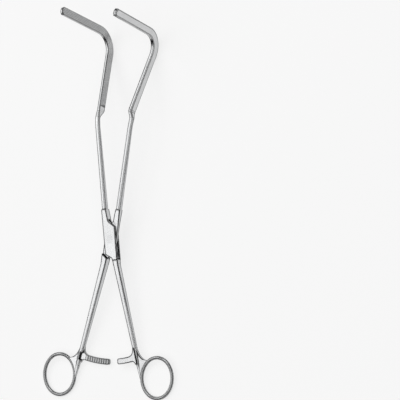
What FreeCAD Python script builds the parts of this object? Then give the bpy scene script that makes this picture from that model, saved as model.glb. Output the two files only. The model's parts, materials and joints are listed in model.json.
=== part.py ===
import FreeCAD, Part
import math
import os
from FreeCAD import Vector

# Rectal forceps: a long ring-handled clamp with a box lock, right-angled jaws and a ratchet.
# Frame: X across the opening, Y from the rings to the jaws, Z up as the clamp lies on a table.
# The origin is where the pivot axis leaves the back face of the box.
# Each half is drawn in the closed clamp with its ring plane level, in the layout of the
# box half: jaw at -X, ring at +X. It is then turned open and laid down on the table.

# Sizes in millimetres and degrees: the pose that is drawn
half_opening = 8.0
closed_jaw_gap = 0.10

# Box lock
box_half_width = 5.8
box_thickness = 5.0
tongue_thickness = 2.3
tongue_side_clearance = 0.06
seam_clearance = 0.5
box_top = 24.0
box_bottom = 21.5
upper_notch_u = -0.2
upper_notch_v = 14.0
upper_notch_radius = 2.4
upper_corner_v = 9.2
lower_notch_u = 0.4
lower_notch_v = -16.2
lower_notch_radius = 0.8
lower_corner_v = -12.4
corner_radius = 0.6
slot_end_clearance = 0.9
ramp_foot_v = 11.5
ramp_step = 0.25
scoop_radius = 2.6

# Pin
pin_radius = 2.0
pin_running_clearance = 0.05
rivet_head_radius = 2.6
rivet_head_depth = 0.6

# Upper shank and neck
upper_shank_width = 4.2
upper_shank_thickness = 4.4
upper_shank_rounding = 1.3
neck_width = 4.1
neck_thickness = 2.6
neck_rounding = 1.0
neck_bend_v = 97.0
neck_bend_angle = 21.5
neck_bend_radius = 40.0
flare_length = 7.0

# Jaw
jaw_width = 6.6
jaw_thickness = 2.9
jaw_upright_reach = 67.8
jaw_cross_reach = 70.0
jaw_inside_angle = 86.0
jaw_bend_radius = 15.5
jaw_tip_rise = 1.7
jaw_tip_corner = 1.0
jaw_back_rounding = 0.9
jaw_face_rounding = 0.15
groove_count = 5
groove_pitch = 1.25
groove_width = 0.65
groove_depth = 0.45
groove_start = 3.0

# Lower shank
handle_angle = 8.8
lower_root_width = 4.6
lower_root_thickness = 4.2
lower_end_width = 3.9
lower_end_thickness = 3.3
lower_rounding = 1.2
crisp_rounding = 0.3
shank_tail = 2.2

# Ratchet
ratchet_radius = 99.0
ratchet_width = 4.8
ratchet_arm_thickness = 2.0
ratchet_gap = 0.16
tooth_pitch = 2.3
tooth_depth = 0.6
inset_tooth_count = 10
box_tooth_count = 5
inset_arm_sweep = 17.0
box_arm_sweep = 10.8
arm_tip_radius = 1.9
arm_upper_fillet = 5.5
arm_lower_fillet = 3.0
relief_margin = 0.5

# Finger rings
ring_inner_width = 27.6
ring_inner_length = 29.8
ring_wire = 2.9
ring_wire_sides = 16
ring_station = 120.0
ring_end_radius = 14.6
web_thickness = 2.4
web_start = 90.0
web_corner = 101.5
web_ring_angle = 116.0
web_proud = 0.95

# Small values that several shapes share
overshoot = 1.0
sliver = 0.2
neck_plain_steps = 3
neck_flare_steps = 5
arc_points = 3
right_angle = 90.0
root_share = 0.8

# Values that follow from the sizes
mid_z = box_thickness / 2.0
shank_offset = box_half_width - upper_shank_width / 2.0
slot_half_height = tongue_thickness / 2.0 + tongue_side_clearance
slot_top = upper_notch_v + slot_end_clearance + sliver
slot_bottom = lower_notch_v - slot_end_clearance
neck_angle = math.radians(neck_bend_angle)
neck_start_v = neck_bend_v - neck_bend_radius * math.tan(neck_angle / 2.0)
neck_length = neck_bend_radius * neck_angle
jaw_centre_u = -(closed_jaw_gap + jaw_thickness) / 2.0
jaw_face_u = -closed_jaw_gap / 2.0
jaw_turn = math.pi - math.radians(jaw_inside_angle)
corner_run = jaw_bend_radius * math.tan(jaw_turn / 2.0) + jaw_width / 2.0
upright_run = jaw_upright_reach - corner_run
cross_run = jaw_cross_reach - corner_run
handle = math.radians(handle_angle)
ring_half_width = (ring_inner_width + ring_wire) / 2.0
ring_half_length = (ring_inner_length + ring_wire) / 2.0
root_edge = lower_end_width / 2.0 * root_share

across = Vector(1, 0, 0)
toward_viewer = Vector(0, 0, 1)
along_handle = Vector(math.sin(handle), -math.cos(handle), 0)
out_of_handle = Vector(math.cos(handle), math.sin(handle), 0)


def line(first, last):
    return Part.LineSegment(first, last).toShape()


def arc(first, middle, last):
    return Part.Arc(first, middle, last).toShape()


def bend(first, corner, last):
    """A smooth curve that leaves first and reaches last in the directions of the corner."""
    curve = Part.BezierCurve()
    curve.setPoles([first, corner, last])
    return curve.toShape()


def wire_face(edges):
    return Part.Face(Part.Wire(edges))


def polygon(points):
    """A flat face through the points in their order."""
    return wire_face([line(points[i - 1], points[i]) for i in range(len(points))])


def flat(u, v, z=0.0):
    return Vector(u, v, z)


def rounded_section(centre, side, depth, width, thickness, inner_radius, outer_radius):
    """A rounded rectangle round the centre, whose inner side faces +side."""
    limit = min(width, thickness) / 2.0 - sliver / 2.0
    inner = min(inner_radius, limit)
    outer = min(outer_radius, limit)
    half_w = width / 2.0
    half_t = thickness / 2.0

    def at(a, b):
        return centre + side * a + depth * b

    def corner(a_sign, b_sign, radius, first_angle):
        a = a_sign * (half_w - radius)
        b = b_sign * (half_t - radius)
        spots = []
        for step in range(arc_points):
            turn = math.radians(first_angle + right_angle * step / (arc_points - 1))
            spots.append(at(a + radius * math.cos(turn), b + radius * math.sin(turn)))
        return spots

    corners = [
        corner(1, 1, inner, 0.0),
        corner(-1, 1, outer, right_angle),
        corner(-1, -1, outer, 2.0 * right_angle),
        corner(1, -1, inner, 3.0 * right_angle),
    ]
    edges = []
    before = corners[-1]
    for spots in corners:
        edges.append(line(before[2], spots[0]))
        edges.append(arc(spots[0], spots[1], spots[2]))
        before = spots
    return Part.Wire(edges)


def smooth(share):
    """Zero slope at both ends, from 0 to 1."""
    share = max(0.0, min(1.0, share))
    return share * share * (3.0 - 2.0 * share)


def blend(first, last, share):
    return first + (last - first) * share


# Rounded corners of a flat outline
def filleted_outline(points):
    """A closed face through (u, v, corner radius) points with tangent arcs at its corners."""
    count = len(points)
    ends = []
    for index in range(count):
        u, v, radius = points[index]
        here = flat(u, v)
        back = flat(*points[index - 1][:2]) - here
        ahead = flat(*points[(index + 1) % count][:2]) - here
        back.normalize()
        ahead.normalize()
        half_turn = back.getAngle(ahead) / 2.0
        if radius > 0.0:
            reach = radius / math.tan(half_turn)
            bisector = back + ahead
            bisector.normalize()
            centre = here + bisector * (radius / math.sin(half_turn))
            ends.append((here + back * reach, centre - bisector * radius, here + ahead * reach))
        else:
            ends.append((here, None, here))
    edges = []
    for index in range(count):
        start, middle, end = ends[index]
        if middle is not None:
            edges.append(arc(start, middle, end))
        edges.append(line(end, ends[(index + 1) % count][0]))
    return wire_face(edges)


# Box lock
def lock_outline():
    """The outline that both halves share round the pivot, drawn for the box half."""
    shank_edge = -box_half_width + upper_shank_width
    root = along_handle * box_bottom
    root_in = root - out_of_handle * (lower_root_width / 2.0)
    root_out = root + out_of_handle * (lower_root_width / 2.0)
    return filleted_outline([
        (-box_half_width, box_top, 0.0),
        (-box_half_width, lower_corner_v, corner_radius),
        (lower_notch_u, lower_notch_v, lower_notch_radius),
        (root_in.x, root_in.y, 0.0),
        (root_out.x, root_out.y, 0.0),
        (box_half_width, upper_corner_v, corner_radius),
        (upper_notch_u, upper_notch_v, upper_notch_radius),
        (shank_edge, box_top, 0.0),
    ])


def mirrored(shape):
    return shape.mirror(Vector(0, 0, 0), across)


def slab(face, low, high):
    """The face extruded from one height to another."""
    raised = face.copy()
    raised.translate(Vector(0, 0, low))
    return raised.extrude(Vector(0, 0, high - low))


def cross_prism(points):
    """A prism across the whole lock, from (v, z) points in its side view."""
    reach = 2.0 * box_half_width
    return polygon([Vector(-reach, v, z) for v, z in points]).extrude(Vector(2.0 * reach, 0, 0))


def scoop(face_z, outward):
    """The round run-out from the box face down to the lower shank."""
    drop = (box_thickness - lower_root_thickness) / 2.0
    centre_z = face_z + outward * (scoop_radius - drop)
    reach = 2.0 * box_half_width
    foot_v = -box_bottom + scoop_radius
    centre = Vector(-reach, foot_v, centre_z)
    round_part = Part.makeCylinder(scoop_radius, 2.0 * reach, centre, across)
    floor = face_z - outward * drop
    far = face_z + outward * overshoot
    rest = cross_prism([
        (foot_v, floor),
        (foot_v, far),
        (-2.0 * box_bottom, far),
        (-2.0 * box_bottom, floor),
    ])
    return [round_part, rest]


def box_block():
    block = slab(lock_outline(), 0.0, box_thickness)
    slot = cross_prism([
        (slot_bottom, mid_z - slot_half_height),
        (slot_bottom, mid_z + slot_half_height),
        (slot_top, mid_z + slot_half_height),
        (slot_top, mid_z - slot_half_height),
    ])
    return block.cut([slot, pin_shape()] + scoop(box_thickness, 1) + scoop(0.0, -1))


def ramp(side):
    """The relief that thins the inset half from its shank down to its tongue."""
    foot = tongue_thickness / 2.0
    head = upper_shank_thickness / 2.0 - ramp_step
    heights = [(0.0, foot), (ramp_foot_v, foot), (box_top, head)]
    above = [(box_top, box_thickness), (0.0, box_thickness)]
    return cross_prism([(v, mid_z + side * z) for v, z in heights + above])


def inset_block():
    """The tongue and its shoulders, in the layout of the box half."""
    outline = lock_outline()
    partner = mirrored(outline).makeOffset2D(seam_clearance)
    half_tongue = tongue_thickness / 2.0
    front_wall = slab(partner, mid_z + half_tongue, box_thickness + overshoot)
    back_wall = slab(partner, -overshoot, mid_z - half_tongue)
    hole = Part.makeCylinder(pin_radius + pin_running_clearance, box_thickness)
    block = slab(outline, 0.0, box_thickness)
    return block.cut([front_wall, back_wall, ramp(1), ramp(-1), hole])


# Pin
def pin_shape():
    """A round shank with a flush countersunk rivet head at each face of the box."""
    shank = Part.makeCylinder(pin_radius, box_thickness)
    head_low = Part.makeCone(rivet_head_radius, pin_radius, rivet_head_depth)
    high_start = Vector(0, 0, box_thickness - rivet_head_depth)
    head_high = Part.makeCone(pin_radius, rivet_head_radius, rivet_head_depth, high_start)
    return shank.fuse([head_low, head_high]).removeSplitter()


# Upper shank and neck
def neck_place(distance):
    """Centre, forward direction and front direction on the neck's bend."""
    angle = distance / neck_bend_radius
    v = neck_start_v + neck_bend_radius * math.sin(angle)
    z = mid_z - neck_bend_radius * (1.0 - math.cos(angle))
    up = Vector(0, math.cos(angle), -math.sin(angle))
    front = Vector(0, math.sin(angle), math.cos(angle))
    return Vector(0, v, z), up, front


def neck_section(distance):
    flare = smooth((distance - neck_length + flare_length) / flare_length)
    centre, up, front = neck_place(distance)
    centre = centre + across * blend(-shank_offset, jaw_centre_u, flare)
    return rounded_section(
        centre, across, front,
        blend(neck_width, jaw_thickness, flare),
        blend(neck_thickness, jaw_width, flare),
        blend(neck_rounding, jaw_face_rounding, flare),
        blend(neck_rounding, jaw_back_rounding, flare),
    )


def upper_shank():
    start = rounded_section(
        Vector(-shank_offset, box_top, mid_z), across, toward_viewer,
        upper_shank_width, upper_shank_thickness, upper_shank_rounding, upper_shank_rounding,
    )
    return Part.makeLoft([start, neck_section(0.0)], True, True)


def neck():
    plain_length = neck_length - flare_length
    plain_step = plain_length / neck_plain_steps
    flare_step = flare_length / neck_flare_steps
    distances = [plain_step * i for i in range(neck_plain_steps)]
    distances += [plain_length + flare_step * i for i in range(neck_flare_steps + 1)]
    return Part.makeLoft([neck_section(d) for d in distances], True, True)


# Jaw
jaw_root, jaw_up, jaw_front = neck_place(neck_length)
cross_direction = jaw_up * math.cos(jaw_turn) + jaw_front * math.sin(jaw_turn)


def jaw_point(rise, front_offset, u):
    """A point of the upright part: rise above its shoulder, offset to the front."""
    return jaw_root + jaw_up * rise + jaw_front * front_offset + across * u


def bend_point(radius, turn, u):
    """A point on a circle round the centre of the jaw's bend."""
    centre = jaw_point(upright_run, jaw_bend_radius, u)
    return centre + (jaw_up * math.sin(turn) - jaw_front * math.cos(turn)) * radius


def jaw_plate():
    outer = jaw_bend_radius + jaw_width / 2.0
    inner = jaw_bend_radius - jaw_width / 2.0
    half = jaw_width / 2.0
    u = jaw_face_u
    ahead = cross_direction * (cross_run - jaw_tip_rise)
    bend_start_out = bend_point(outer, 0.0, u)
    bend_end_out = bend_point(outer, jaw_turn, u)
    bend_start_in = bend_point(inner, 0.0, u)
    bend_end_in = bend_point(inner, jaw_turn, u)
    tip_out = bend_end_out + ahead
    tip_in = bend_end_in + ahead
    tip = (tip_out + tip_in) / 2.0 + cross_direction * jaw_tip_rise
    edges = [
        line(jaw_point(0.0, -half, u), bend_start_out),
        arc(bend_start_out, bend_point(outer, jaw_turn / 2.0, u), bend_end_out),
        line(bend_end_out, tip_out),
        arc(tip_out, tip, tip_in),
        line(tip_in, bend_end_in),
        arc(bend_end_in, bend_point(inner, jaw_turn / 2.0, u), bend_start_in),
        line(bend_start_in, jaw_point(0.0, half, u)),
        line(jaw_point(0.0, half, u), jaw_point(0.0, -half, u)),
    ]
    plate = wire_face(edges).extrude(across * -jaw_thickness)
    plate = plate.makeFillet(jaw_tip_corner, tip_edges(plate, [tip_out, tip_in]))
    return plate.makeFillet(jaw_back_rounding, back_edges(plate))


def tip_edges(plate, corners):
    """The short edges that run through the plate at the corners of its tip."""
    found = []
    for edge in plate.Edges:
        near = [c for c in corners if edge.distToShape(Part.Vertex(c))[0] < sliver / 2.0]
        if near and abs(edge.BoundBox.XLength - jaw_thickness) < sliver / 2.0:
            found.append(edge)
    return found


def back_edges(plate):
    """The edges of the smooth outer side, apart from the end that joins the neck."""
    back_u = jaw_face_u - jaw_thickness
    found = []
    for edge in plate.Edges:
        centre = edge.CenterOfMass
        on_back = edge.BoundBox.XLength < sliver / 2.0 and abs(centre.x - back_u) < sliver / 2.0
        level = abs((centre - jaw_root).dot(jaw_up)) < sliver / 2.0
        at_root = level and edge.Length < jaw_width + sliver
        if on_back and not at_root:
            found.append(edge)
    return found


def groove_cutters(offset):
    """One serration: up the upright part, round the bend and out at the tip."""
    widen = 1.0 + overshoot / groove_depth
    mouth_u = jaw_face_u + overshoot
    root_u = jaw_face_u - groove_depth
    mouth = groove_width / 2.0 * widen

    def profile(place, side):
        """A triangle across the groove, from a function of u and a side direction."""
        mouth_place = place(mouth_u)
        return polygon([mouth_place + side * mouth, place(root_u), mouth_place - side * mouth])

    radius = jaw_bend_radius - offset
    start = profile(lambda u: jaw_point(groove_start, offset, u), jaw_front)
    bend_start = profile(lambda u: bend_point(radius, 0.0, u), jaw_front)
    bend_end = bend_start.copy()
    centre = jaw_point(upright_run, jaw_bend_radius, 0.0)
    turn = math.degrees(jaw_turn)
    around = bend_start.revolve(centre, across, turn)
    bend_end.rotate(centre, across, turn)
    upright = start.extrude(jaw_up * (upright_run - groove_start))
    crossing = bend_end.extrude(cross_direction * (cross_run + overshoot))
    return [upright, around, crossing]


def jaw():
    plate = jaw_plate()
    cutters = []
    for index in range(groove_count):
        offset = (index - (groove_count - 1) / 2.0) * groove_pitch
        cutters += groove_cutters(offset)
    return plate.cut(cutters)


# Lower shank
def handle_section(station, width, thickness, rounding):
    centre = along_handle * station + toward_viewer * mid_z
    return rounded_section(
        centre, out_of_handle, toward_viewer, width, thickness, rounding, rounding)


def lower_shank(root_thickness):
    ratchet_section = handle_section(
        ratchet_radius, lower_end_width, lower_end_thickness, lower_rounding)
    root_section = handle_section(box_bottom, lower_root_width, root_thickness, crisp_rounding)
    tail = handle_section(ring_station, shank_tail, shank_tail, lower_rounding)
    long_part = Part.makeLoft([root_section, ratchet_section], True, True)
    short_part = Part.makeLoft([ratchet_section, tail], True, True)
    return [long_part, short_part]


# Finger ring
def ring_centre():
    return along_handle * ring_station + out_of_handle * ring_half_width + toward_viewer * mid_z


def wire_section(centre):
    """The near-round section of the ring's wire, across the ring where it meets the X axis."""
    spots = []
    for index in range(ring_wire_sides):
        turn = 2.0 * math.pi * index / ring_wire_sides
        spots.append(centre + Vector(math.cos(turn), 0, math.sin(turn)) * (ring_wire / 2.0))
    return polygon(spots)


def ring():
    """An oval of four tangent arcs, upright in the drawn pose, swept by the wire's section."""
    end_radius = min(ring_end_radius, ring_half_width - sliver)
    end_offset = ring_half_length - end_radius
    side_radius = (end_offset ** 2 + ring_half_width ** 2 - end_radius ** 2) / (
        2.0 * (ring_half_width - end_radius))
    side_offset = side_radius - ring_half_width
    side_turn = 2.0 * math.degrees(math.atan2(end_offset, side_offset))
    half_circle = 2.0 * right_angle
    end_turn = half_circle - side_turn
    arcs = []
    for sign, first in ((1, 0.0), (-1, half_circle)):
        arcs.append((flat(-sign * side_offset, 0), side_radius, first - side_turn / 2.0, side_turn))
        arcs.append((flat(0, sign * end_offset), end_radius, first + side_turn / 2.0, end_turn))
    pieces = []
    for centre, radius, first, turn in arcs:
        section = wire_section(centre + flat(radius, 0))
        section.rotate(centre, toward_viewer, first)
        pieces.append(section.revolve(centre, toward_viewer, turn))
    oval = pieces[0].fuse(pieces[1:]).removeSplitter()
    oval.rotate(Vector(0, 0, 0), toward_viewer, -half_opening)
    oval.translate(ring_centre())
    return oval


def ring_web():
    """The thin web that fills the corner between the shank and the top of the ring."""
    centre = ring_centre() - toward_viewer * mid_z
    line_radius = (ring_half_width + ring_half_length) / 2.0

    def on_ring(radius, degrees):
        turn = math.radians(degrees)
        return centre + flat(radius * math.cos(turn), radius * math.sin(turn))

    last_angle = 2.0 * right_angle + handle_angle
    start_axis = along_handle * web_start
    start = start_axis + out_of_handle * root_edge
    corner = along_handle * web_corner + out_of_handle * (lower_end_width / 2.0)
    top = on_ring(line_radius + web_proud, web_ring_angle)
    top_in = on_ring(line_radius, web_ring_angle)
    middle = on_ring(line_radius, (web_ring_angle + last_angle) / 2.0)
    foot = on_ring(line_radius, last_angle)
    face = wire_face([
        line(start_axis, start),
        bend(start, corner, top),
        line(top, top_in),
        arc(top_in, middle, foot),
        line(foot, start_axis),
    ])
    return slab(face, mid_z - web_thickness / 2.0, mid_z + web_thickness / 2.0)


# Ratchet
def polar(radius, degrees):
    """A point round the pivot; zero degrees is the handle line, positive towards the partner."""
    turn = handle - math.radians(degrees)
    return flat(radius * math.sin(turn), -radius * math.cos(turn))


def arm_outline(sweep):
    """The arm seen from the front, with a fillet to the shank above and below its root."""
    inner = ratchet_radius - ratchet_width / 2.0
    outer = ratchet_radius + ratchet_width / 2.0
    top = inner - arm_upper_fillet
    foot = outer + arm_lower_fillet
    side = math.degrees(lower_end_width / 2.0 / ratchet_radius)
    root = math.degrees(root_edge / ratchet_radius)
    upper = side + math.degrees(arm_upper_fillet / ratchet_radius)
    lower = side + math.degrees(arm_lower_fillet / ratchet_radius)
    tip = sweep - math.degrees(arm_tip_radius / ratchet_radius)
    half = sweep / 2.0
    return wire_face([
        line(polar(top, 0.0), polar(top, root)),
        bend(polar(top, root), polar(inner, side), polar(inner, upper)),
        arc(polar(inner, upper), polar(inner, half), polar(inner, tip)),
        bend(polar(inner, tip), polar(inner, sweep), polar(inner + arm_tip_radius, sweep)),
        line(polar(inner + arm_tip_radius, sweep), polar(outer - arm_tip_radius, sweep)),
        bend(polar(outer - arm_tip_radius, sweep), polar(outer, sweep), polar(outer, tip)),
        arc(polar(outer, tip), polar(outer, half), polar(outer, lower)),
        bend(polar(outer, lower), polar(outer, side), polar(foot, root)),
        line(polar(foot, root), polar(foot, 0.0)),
        line(polar(foot, 0.0), polar(top, 0.0)),
    ])


def tooth_cutter(degrees, top_z):
    """A notch across the arm: steep on the side that faces the arm's own root."""
    length = ratchet_width + 2.0 * overshoot
    start = polar(ratchet_radius - length / 2.0, degrees)
    outward = polar(length, degrees)
    turn = handle - math.radians(degrees)
    sideways = Vector(-math.cos(turn), -math.sin(turn), 0)
    lift = toward_viewer * overshoot
    surface = start + toward_viewer * top_z
    return polygon([
        surface + lift,
        surface,
        surface + sideways * tooth_pitch - toward_viewer * tooth_depth,
        surface + sideways * tooth_pitch + lift,
    ]).extrude(outward)


def ratchet_arm(sweep, tooth_count):
    """An arm behind the middle plane, with its teeth on the front."""
    top_z = mid_z - ratchet_gap / 2.0
    arm = slab(arm_outline(sweep), top_z - ratchet_arm_thickness, top_z)
    pitch_turn = math.degrees(tooth_pitch / ratchet_radius)
    last = sweep - math.degrees(arm_tip_radius / ratchet_radius) / 2.0
    cutters = [tooth_cutter(last - pitch_turn * (k + 1), top_z) for k in range(tooth_count)]
    return arm.cut(cutters)


def ratchet_relief():
    """The pocket in the front of the shank that the partner's arm slides into."""
    inner = ratchet_radius - ratchet_width / 2.0 - relief_margin
    outer = ratchet_radius + ratchet_width / 2.0 + relief_margin
    reach = math.degrees(lower_end_width / ratchet_radius)
    face = wire_face([
        line(polar(inner, 0.0), polar(outer, 0.0)),
        arc(polar(outer, 0.0), polar(outer, reach / 2.0), polar(outer, reach)),
        line(polar(outer, reach), polar(inner, reach)),
        arc(polar(inner, reach), polar(inner, reach / 2.0), polar(inner, 0.0)),
    ])
    return slab(face, mid_z - ratchet_gap / 2.0, box_thickness)


def flipped(shape):
    """Front and back changed over."""
    return shape.mirror(Vector(0, 0, mid_z), toward_viewer)


# Rest on a table: on the far ends of the rings and the heels of the jaws
def lying_tilt():
    """The turn about X that lays the open clamp on its rings and its jaw heels."""
    opened = math.radians(half_opening)
    rings = ring_centre()
    ring_y = rings.y * math.cos(opened) + rings.x * math.sin(opened) - ring_half_length
    heel = bend_point(0.0, 0.0, jaw_centre_u)
    heel_y = heel.y * math.cos(opened) + heel.x * math.sin(opened)
    heel_radius = jaw_bend_radius + jaw_width / 2.0
    run = heel_y - ring_y
    rise = heel.z - mid_z
    radius_gain = heel_radius - ring_wire / 2.0
    return math.degrees(math.asin(radius_gain / math.hypot(run, rise)) - math.atan2(rise, run))


def laid_down(shape, opening):
    shape.rotate(Vector(0, 0, 0), toward_viewer, opening)
    shape.rotate(Vector(0, 0, 0), across, lying_tilt())
    return shape


# Whole halves
def whole_half(block, root_thickness, arm, relief):
    handle_parts = lower_shank(root_thickness) + [ring_web()]
    handle_parts = [piece.cut(relief) for piece in handle_parts]
    pieces = [upper_shank(), neck(), jaw(), ring(), arm] + handle_parts
    return block.fuse(pieces).removeSplitter()


def box_half():
    arm = flipped(ratchet_arm(box_arm_sweep, box_tooth_count))
    half = whole_half(box_block(), lower_root_thickness, arm, flipped(ratchet_relief()))
    return laid_down(half, half_opening)


def inset_half():
    arm = ratchet_arm(inset_arm_sweep, inset_tooth_count)
    half = whole_half(inset_block(), box_thickness, arm, ratchet_relief())
    return laid_down(mirrored(half), -half_opening)


def box_lock_pin():
    return laid_down(pin_shape(), half_opening)


os.makedirs("parts", exist_ok=True)
makers = {
    "box_half": box_half,
    "inset_half": inset_half,
    "box_lock_pin": box_lock_pin,
}
print("turn about X, degrees", lying_tilt())
for name, maker in makers.items():
    shape = maker()
    if len(shape.Solids) == 1:
        shape = shape.Solids[0]
    shape.exportStep("parts/" + name + ".step")
    print(name, "solids", len(shape.Solids), "valid", shape.isValid(), "volume", round(shape.Volume, 2))
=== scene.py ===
import json
import math

import bpy
from mathutils import Matrix, Vector


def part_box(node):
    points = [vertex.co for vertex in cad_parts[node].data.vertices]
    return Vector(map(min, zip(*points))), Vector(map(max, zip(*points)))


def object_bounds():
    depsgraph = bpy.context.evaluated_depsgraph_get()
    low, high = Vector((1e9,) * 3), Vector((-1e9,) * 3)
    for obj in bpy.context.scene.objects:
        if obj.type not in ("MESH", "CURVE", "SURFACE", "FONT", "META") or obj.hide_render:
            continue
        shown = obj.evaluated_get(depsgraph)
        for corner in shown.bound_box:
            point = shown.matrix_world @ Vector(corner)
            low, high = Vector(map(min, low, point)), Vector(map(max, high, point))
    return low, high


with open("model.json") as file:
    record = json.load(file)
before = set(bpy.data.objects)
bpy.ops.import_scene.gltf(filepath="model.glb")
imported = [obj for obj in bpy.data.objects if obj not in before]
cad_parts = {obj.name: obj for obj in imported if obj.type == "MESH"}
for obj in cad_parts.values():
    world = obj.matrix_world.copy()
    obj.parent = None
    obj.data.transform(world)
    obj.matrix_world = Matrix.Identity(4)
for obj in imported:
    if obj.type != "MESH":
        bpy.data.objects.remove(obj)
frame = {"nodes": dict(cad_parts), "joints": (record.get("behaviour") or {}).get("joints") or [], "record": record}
cad_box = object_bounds()
scene = bpy.context.scene

# The drawing: its angles round the clamp, its scale and where the pivot lies in its frame
view_side = math.radians(37.3)
view_rise = math.radians(0.7)
view_roll = math.radians(1.3)
metres_per_pixel = 0.0008024
image_pixels = 400
pivot_pixel = (111.4, 238.5)
camera_distance = 12.0
camera_near = 1.2
camera_far = 240.0

# The clamp's own directions and half the angle between its open jaws, from its one joint
joint = frame["joints"][0]
pivot = Vector(joint["pos_m"])
front = Vector(joint["axis"]).normalized()
across = Vector((1, 0, 0))
along = front.cross(across)
half_opening = math.radians(max(joint["range_deg"])) / 2

# Places on the clamp where its finish changes
mounts = {mount["name"]: mount for mount in frame["record"]["mounts"]}
ring_centre = Vector(mounts["finger_ring_right"]["pos_m"])
ring_reach = 0.019
ring_grain_blend = 0.002
ring_band_blend = 0.001
jaw_start_y = 0.106
jaw_start_blend = 0.001
jaw_turn_z = 0.006
jaw_turn_blend = 0.006
pin_low, pin_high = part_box("box_lock_pin")
pin_radius = (pin_high.x - pin_low.x) / 2
pin_surround = 0.0008
pin_blend = 0.0004

# Widths of the bands of painted shade along the edges of the steel
shank_band = 0.0015
jaw_band = 0.0014
serrated_band = 0.0013
ring_band = 0.0007

# Angle under which two facets are shaded as one surface
smooth_angle = math.radians(28)

# Satin steel: scales of its marks for a metre, where "fine" is across the grain and "long" along it
steel_light = (0.62, 0.625, 0.63)
fine_grain = {"fine": 5200.0, "long": 160.0, "detail": 4.0}
wide_grain = {"fine": 1300.0, "long": 45.0, "detail": 2.0}
wide_grain_share = 0.45
scratches = {"fine": 2400.0, "long": 22.0, "detail": 0.0}
smudges = {"scale": 95.0, "detail": 3.0}
clouds = {"scale": 26.0, "detail": 2.0}
pits = {"scale": 2600.0, "detail": 1.0}
noise_roughness = 0.55
noise_middle = 0.5

# Satin steel: where a scratch, an edge band of painted shade, a serrated face and a hollow with painted shade
# begin and are complete
scratch_span = (0.012, 0.0)
scratched_patch_span = (0.5, 0.62)
outward_span = (-0.1, -0.4)
edge_span = (0.9997, 0.995)
serrated_edge_span = (0.975, 0.9)
band_samples = 16
hollow_reach = 0.0012
hollow_span = (0.82, 0.52)
hollow_samples = 12

# Satin steel: how its marks change its tone, and how dark the painted shade in its hollows, grooves and edge bands
# is
grain_span = (0.3, 0.7)
grain_tone = (0.93, 1.05)
smudge_span = (0.35, 0.65)
smudge_tone = (0.96, 1.02)
cloud_span = (0.3, 0.7)
cloud_tone = (0.96, 1.03)
# Edge bands: how the clouds vary them, and how dark the painted shade in them is
polish_and_shade_span = (0.3, 0.6)
polish_and_shade_share = (0.75, 1.0)
painted_edge_shade = 0.06
# Painted shade in the hollows, and lighter painted shade in the grooves of the serrated faces
painted_hollow_shade = 0.12
painted_groove_shade = 0.3
scratch_tone = 0.05

# Satin steel: how its marks change its gloss
rough_grain_span = (0.25, 0.75)
rough_grain = (0.13, 0.28)
rough_smudge_span = (0.4, 0.7)
rough_smudge = (-0.03, 0.05)
rough_hollow = 0.2
rough_polish = -0.1

# Satin steel: the relief of its marks, and the small radius on its edges
grain_relief = 0.8
pit_relief = 0.12
scratch_relief = -0.3
steel_relief_strength = 0.5
relief_depth = 0.00003
edge_radius = 0.00025
edge_samples = 6

# Pin: rings of turning, patches of filing, and how they change its tone, gloss and relief
pin_light = (0.63, 0.635, 0.64)
turnings = {"scale": 6500.0, "detail": 3.0}
patches = {"scale": 700.0, "detail": 3.0}
turning_span = (0.3, 0.7)
turning_tone = (0.88, 1.04)
patch_span = (0.35, 0.65)
patch_tone = (0.92, 1.04)
rough_patch_span = (0.3, 0.7)
rough_patch = (0.24, 0.36)
patch_relief = 0.5
pin_relief_strength = 0.4

# Studio: a pale floor that glows by itself to the eye, and a sky from dark horizon to bright zenith
floor_side = 40.0
floor_colour = (0.95, 0.95, 0.95, 1)
floor_glow = 0.7
glow_colour = (1, 1, 1, 1)
horizon_colour = (0.01, 0.0105, 0.012, 1)
zenith_colour = (1.0, 1.0, 1.0, 1)
sky_span = (0.4, 0.8)

# Lamps: the way to each, as shares of across, along and front, with its distance, sides and power
lamps = {
    "key": {"way": (-1.4, 0.5, 1.0), "distance": 1.5, "width": 0.9, "length": 1.8, "power": 5.0},
    "fill": {"way": (1.3, -0.1, 1.0), "distance": 1.6, "width": 0.4, "length": 1.4, "power": 1.5},
    "top": {"way": (0.1, 1.2, 1.0), "distance": 1.6, "width": 0.9, "length": 0.7, "power": 1.9},
}


# Camera
def standing(right, up, back, place):
    """The matrix of a thing at a place, with its X, Y and Z along right, up and back."""
    matrix = Matrix((right, up, back)).transposed().to_4x4()
    matrix.translation = place
    return matrix


def place_camera():
    """Stands the camera far off at the drawing's angle, which has almost no perspective."""
    back = (across * math.sin(view_side) + front * math.cos(view_side)) * math.cos(view_rise)
    back += along * math.sin(view_rise)
    level_right = along.cross(back).normalized()
    level_up = back.cross(level_right)
    right = level_right * math.cos(view_roll) + level_up * math.sin(view_roll)
    up = level_up * math.cos(view_roll) - level_right * math.sin(view_roll)
    centre = image_pixels / 2
    target = pivot + right * (centre - pivot_pixel[0]) * metres_per_pixel
    target += up * (pivot_pixel[1] - centre) * metres_per_pixel
    data = bpy.data.cameras.new("drawing_view")
    data.lens = data.sensor_width * camera_distance / (image_pixels * metres_per_pixel)
    data.clip_start = camera_near
    data.clip_end = camera_far
    camera = bpy.data.objects.new("drawing_view", data)
    camera.matrix_world = standing(right, up, back, target + back * camera_distance)
    scene.collection.objects.link(camera)
    scene.camera = camera


# Node graphs: for each kind of value, the numbers of a mix node's two inputs and its output
mix_sockets = {"FLOAT": (2, 3, 0), "VECTOR": (4, 5, 1), "RGBA": (6, 7, 2)}


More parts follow.
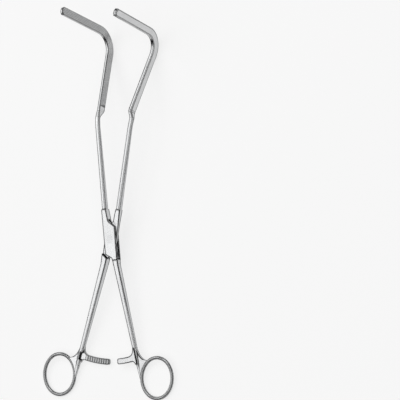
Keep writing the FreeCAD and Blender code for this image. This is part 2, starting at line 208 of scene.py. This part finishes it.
class Graph:
    """A short way to write a node tree."""

    def __init__(self, tree):
        self.tree = tree
        tree.nodes.clear()

    def add(self, kind, inputs=None, **settings):
        """A new node, with a value or a link for each named or numbered input."""
        made = self.tree.nodes.new(kind)
        for name, value in settings.items():
            setattr(made, name, value)
        for name, value in (inputs or {}).items():
            if isinstance(value, bpy.types.NodeSocket):
                self.tree.links.new(value, made.inputs[name])
            else:
                made.inputs[name].default_value = value
        return made

    def math(self, operation, first, second=0.0, clamp=False):
        made = self.add("ShaderNodeMath", {0: first, 1: second}, operation=operation, use_clamp=clamp)
        return made.outputs[0]

    def plus(self, first, second):
        return self.math("ADD", first, second)

    def minus(self, first, second):
        return self.math("SUBTRACT", first, second)

    def times(self, first, second):
        return self.math("MULTIPLY", first, second)

    def length(self, first, second):
        """The length of a line that runs first one way and second at right angles to it."""
        return self.math("SQRT", self.plus(self.times(first, first), self.times(second, second)))

    def vector(self, operation, first, second=(0.0, 0.0, 0.0)):
        return self.add("ShaderNodeVectorMath", {0: first, 1: second}, operation=operation)

    def combine(self, x, y, z):
        return self.add("ShaderNodeCombineXYZ", {"X": x, "Y": y, "Z": z}).outputs[0]

    def separate(self, vector):
        return self.add("ShaderNodeSeparateXYZ", {0: vector}).outputs

    def ramp(self, value, span, result=(0.0, 1.0)):
        """The first result before the span of values, the second after it, and smooth between."""
        return self.add("ShaderNodeMapRange", {
            "Value": value, "From Min": span[0], "From Max": span[1],
            "To Min": result[0], "To Max": result[1],
        }, interpolation_type="SMOOTHSTEP").outputs["Result"]

    def mix(self, share, first, second, kind="FLOAT"):
        """From first to second by share, for numbers, vectors or colours."""
        start, end, result = mix_sockets[kind]
        made = self.add("ShaderNodeMix", {0: share, start: first, end: second}, data_type=kind)
        return made.outputs[result]

    def noise(self, place, scale, detail):
        return self.add("ShaderNodeTexNoise", {
            "Vector": place, "Scale": scale, "Detail": detail, "Roughness": noise_roughness,
        }).outputs["Fac"]

    def tinted(self, tone, light):
        """A colour of the given light, made paler or darker by the tone."""
        return self.combine(*[self.times(tone, part) for part in light])

    def metal(self, colour, rough, height, strength, normal=None):
        """Ends a material in metal with the relief that height gives it."""
        relief = {"Strength": strength, "Distance": relief_depth, "Height": height}
        if normal is not None:
            relief["Normal"] = normal
        bump = self.add("ShaderNodeBump", relief)
        shader = self.add("ShaderNodeBsdfPrincipled", {
            "Base Color": colour, "Roughness": rough, "Metallic": 1.0, "Normal": bump.outputs[0]})
        self.add("ShaderNodeOutputMaterial", {"Surface": shader.outputs[0]})


def new_material(name):
    material = bpy.data.materials.new(name)
    material.use_nodes = True
    return material, Graph(material.node_tree)


# Satin steel
class Spot:
    """Where a point of the steel lies on the clamp in its rest pose."""

    def __init__(self, graph):
        self.place = graph.add("ShaderNodeTexCoord").outputs["Object"]
        self.x, self.y, self.z = graph.separate(self.place)
        side = graph.minus(graph.math("ABSOLUTE", self.x), ring_centre.x)
        fore = graph.minus(self.y, ring_centre.y)
        self.from_ring = graph.length(side, fore)
        self.round_ring = graph.math("ARCTAN2", fore, side)
        self.from_pin = graph.length(self.x, self.y)


def streaks(graph, spot, fine, long, detail):
    """Noise drawn out along the shanks, up the jaws and round the rings."""
    shank = graph.vector("MULTIPLY", spot.place, (fine, long, fine)).outputs[0]
    jaw = graph.vector("MULTIPLY", spot.place, (fine, fine, long)).outputs[0]
    ring = graph.combine(
        graph.times(spot.from_ring, fine), graph.times(spot.z, fine),
        graph.times(spot.round_ring, long * ring_reach))
    on_jaw = graph.ramp(spot.z, (jaw_turn_z, jaw_turn_z + jaw_turn_blend))
    on_ring = graph.ramp(spot.from_ring, (ring_reach + ring_grain_blend, ring_reach))
    place = graph.mix(on_jaw, shank, jaw, "VECTOR")
    place = graph.mix(on_ring, place, ring, "VECTOR")
    return graph.noise(place, 1.0, detail)


def serrated_faces(graph, spot, on_jaw):
    """1 on the sides of the jaws that face each other, and 0 elsewhere."""
    own_normal = graph.add("ShaderNodeTexCoord").outputs["Normal"]
    outward = graph.times(graph.math("SIGN", spot.x), graph.separate(own_normal)[0])
    return graph.times(on_jaw, graph.ramp(outward, outward_span))


def edge_bands(graph, spot, on_jaw, serrated):
    """1 in a narrow band along the edges, where shade is painted, and 0 elsewhere and round the pin."""
    on_ring = graph.ramp(spot.from_ring, (ring_reach + ring_band_blend, ring_reach))
    width = graph.mix(on_jaw, shank_band, jaw_band)
    width = graph.mix(on_ring, width, ring_band)
    width = graph.mix(serrated, width, serrated_band)
    rounded = graph.add("ShaderNodeBevel", {"Radius": width}, samples=band_samples).outputs[0]

    surface = graph.add("ShaderNodeNewGeometry").outputs["Normal"]
    flat = graph.vector("DOT_PRODUCT", rounded, surface).outputs["Value"]
    own_rounded = graph.separate(graph.add(
        "ShaderNodeVectorTransform", {0: rounded},
        vector_type="NORMAL", convert_from="WORLD", convert_to="OBJECT").outputs[0])
    faces_in = graph.plus(
        graph.times(graph.math("ABSOLUTE", own_rounded[0]), math.cos(half_opening)),
        graph.times(own_rounded[1], math.sin(half_opening)))
    bands = graph.mix(serrated, graph.ramp(flat, edge_span), graph.ramp(faces_in, serrated_edge_span))
    clear_of_pin = pin_radius + pin_surround
    return graph.times(bands, graph.ramp(spot.from_pin, (clear_of_pin, clear_of_pin + pin_blend)))


class Marks:
    """What grinding, brushing and handling leave on the steel, and where shade is painted along its edges and in
    its hollows, each as a number from 0 to 1.
    """

    def __init__(self, graph, spot):
        self.grain = graph.mix(
            wide_grain_share, streaks(graph, spot, **fine_grain), streaks(graph, spot, **wide_grain))
        self.smudge = graph.noise(spot.place, **smudges)
        self.cloud = graph.noise(spot.place, **clouds)
        self.pit = graph.noise(spot.place, **pits)
        line = graph.math("ABSOLUTE", graph.minus(streaks(graph, spot, **scratches), noise_middle))
        self.scratch = graph.times(
            graph.ramp(line, scratch_span), graph.ramp(self.smudge, scratched_patch_span))
        on_jaw = graph.ramp(spot.y, (jaw_start_y, jaw_start_y + jaw_start_blend))
        self.serrated = serrated_faces(graph, spot, on_jaw)
        bands = edge_bands(graph, spot, on_jaw, self.serrated)
        # Edge bands, glossier and with painted shade in them
        self.polish_and_edge_shade = graph.times(bands, graph.ramp(self.cloud, polish_and_shade_span, polish_and_shade_share))
        # Where shade is painted in the hollows, from how open each point is
        openness = graph.add(
            "ShaderNodeAmbientOcclusion", {"Distance": hollow_reach}, samples=hollow_samples)
        self.shaded_hollow = graph.ramp(openness.outputs["AO"], hollow_span)


def steel_tone(graph, marks):
    """How pale the steel is: painted shade in its hollows and along its edges, a little paler in a scratch."""
    tone = graph.ramp(marks.grain, grain_span, grain_tone)
    tone = graph.times(tone, graph.ramp(marks.smudge, smudge_span, smudge_tone))
    tone = graph.times(tone, graph.ramp(marks.cloud, cloud_span, cloud_tone))
    # Painted shade in the hollows, lighter in the grooves of the serrated faces
    painted_recess_shade = graph.mix(marks.serrated, painted_hollow_shade, painted_groove_shade)
    tone = graph.times(tone, graph.mix(marks.shaded_hollow, 1.0, painted_recess_shade))
    # Painted shade in the bands along the edges
    tone = graph.times(tone, graph.mix(marks.polish_and_edge_shade, 1.0, painted_edge_shade))
    return graph.plus(tone, graph.times(marks.scratch, scratch_tone))


def steel_roughness(graph, marks):
    """How dull the steel is: duller in its hollows, glossier along its edges."""
    rough = graph.ramp(marks.grain, rough_grain_span, rough_grain)
    rough = graph.plus(rough, graph.ramp(marks.smudge, rough_smudge_span, rough_smudge))
    rough = graph.plus(rough, graph.times(marks.shaded_hollow, rough_hollow))
    return graph.math("ADD", rough, graph.times(marks.polish_and_edge_shade, rough_polish), clamp=True)


def steel_height(graph, marks):
    """The relief of the grain, the pits and the scratches."""
    height = graph.times(marks.grain, grain_relief)
    height = graph.plus(height, graph.times(marks.pit, pit_relief))
    return graph.plus(height, graph.times(marks.scratch, scratch_relief))


def satin_steel():
    """Ground and satin-brushed stainless steel, with glossier bands along its edges that carry painted shade."""
    material, graph = new_material("satin_steel")
    marks = Marks(graph, Spot(graph))
    colour = graph.tinted(steel_tone(graph, marks), steel_light)
    soft_edges = graph.add("ShaderNodeBevel", {"Radius": edge_radius}, samples=edge_samples)
    graph.metal(colour, steel_roughness(graph, marks), steel_height(graph, marks),
                steel_relief_strength, soft_edges.outputs[0])
    return material


# Pin
def pin_steel():
    """The peened end of the pin, turned and filed flush, with rings round its axis."""
    material, graph = new_material("pin_steel")
    place = graph.add("ShaderNodeTexCoord").outputs["Object"]
    radius = graph.vector("LENGTH", place).outputs["Value"]
    turning = graph.noise(graph.combine(radius, 0.0, 0.0), **turnings)
    patch = graph.noise(place, **patches)
    tone = graph.ramp(turning, turning_span, turning_tone)
    tone = graph.times(tone, graph.ramp(patch, patch_span, patch_tone))
    rough = graph.ramp(patch, rough_patch_span, rough_patch)
    height = graph.plus(turning, graph.times(patch, patch_relief))
    graph.metal(graph.tinted(tone, pin_light), rough, height, pin_relief_strength)
    return material


def dress(node, material):
    """Gives a piece of the clamp its material, and smooth shading that stops at its sharp edges."""
    shown = frame["nodes"][node]
    for place in shown.material_slots:
        place.material = material
    shown.data.shade_smooth()
    shown.data.set_sharp_from_angle(angle=smooth_angle)


# Studio
def make_floor():
    """A wide sheet under the clamp that keeps its shadow and shows pale to the eye and in the steel."""
    low = cad_box[0].z
    half = floor_side / 2
    mesh = bpy.data.meshes.new("floor")
    corners = [(-half, -half, low), (half, -half, low), (half, half, low), (-half, half, low)]
    mesh.from_pydata(corners, [], [(0, 1, 2, 3)])
    floor = bpy.data.objects.new("floor", mesh)
    scene.collection.objects.link(floor)
    material, graph = new_material("floor_paper")
    plain = graph.add("ShaderNodeBsdfDiffuse", {"Color": floor_colour})
    glow = graph.add("ShaderNodeEmission", {"Color": glow_colour})
    rays = graph.add("ShaderNodeLightPath").outputs
    seen = graph.math("MAXIMUM", rays["Is Camera Ray"], rays["Is Glossy Ray"])
    seen = graph.math("MAXIMUM", seen, rays["Is Transmission Ray"])
    both = graph.add("ShaderNodeMixShader", {
        0: graph.times(seen, floor_glow), 1: plain.outputs[0], 2: glow.outputs[0]})
    graph.add("ShaderNodeOutputMaterial", {"Surface": both.outputs[0]})
    mesh.materials.append(material)


def make_world():
    """A sky that is dark at the horizon and bright overhead."""
    world = bpy.data.worlds.new("studio")
    world.use_nodes = True
    scene.world = world
    graph = Graph(world.node_tree)
    height = graph.separate(graph.add("ShaderNodeTexCoord").outputs["Generated"])[2]
    colour = graph.mix(graph.ramp(height, sky_span), horizon_colour, zenith_colour, "RGBA")
    sky = graph.add("ShaderNodeBackground", {"Color": colour})
    graph.add("ShaderNodeOutputWorld", {"Surface": sky.outputs[0]})


def make_lamp(name, way, distance, width, length, power):
    """A soft rectangular lamp that looks at the middle of the clamp, its length along Y."""
    data = bpy.data.lights.new(name, "AREA")
    data.shape = "RECTANGLE"
    data.size = width
    data.size_y = length
    data.energy = power
    lamp = bpy.data.objects.new(name, data)
    middle = (cad_box[0] + cad_box[1]) / 2
    back = (across * way[0] + along * way[1] + front * way[2]).normalized()
    right = along.cross(back).normalized()
    lamp.matrix_world = standing(right, back.cross(right), back, middle + back * distance)
    scene.collection.objects.link(lamp)


place_camera()
satin = satin_steel()
dress("box_half", satin)
dress("inset_half", satin)
dress("box_lock_pin", pin_steel())
make_floor()
make_world()
for name, settings in lamps.items():
    make_lamp(name, **settings)
scene.view_settings.view_transform = "Standard"
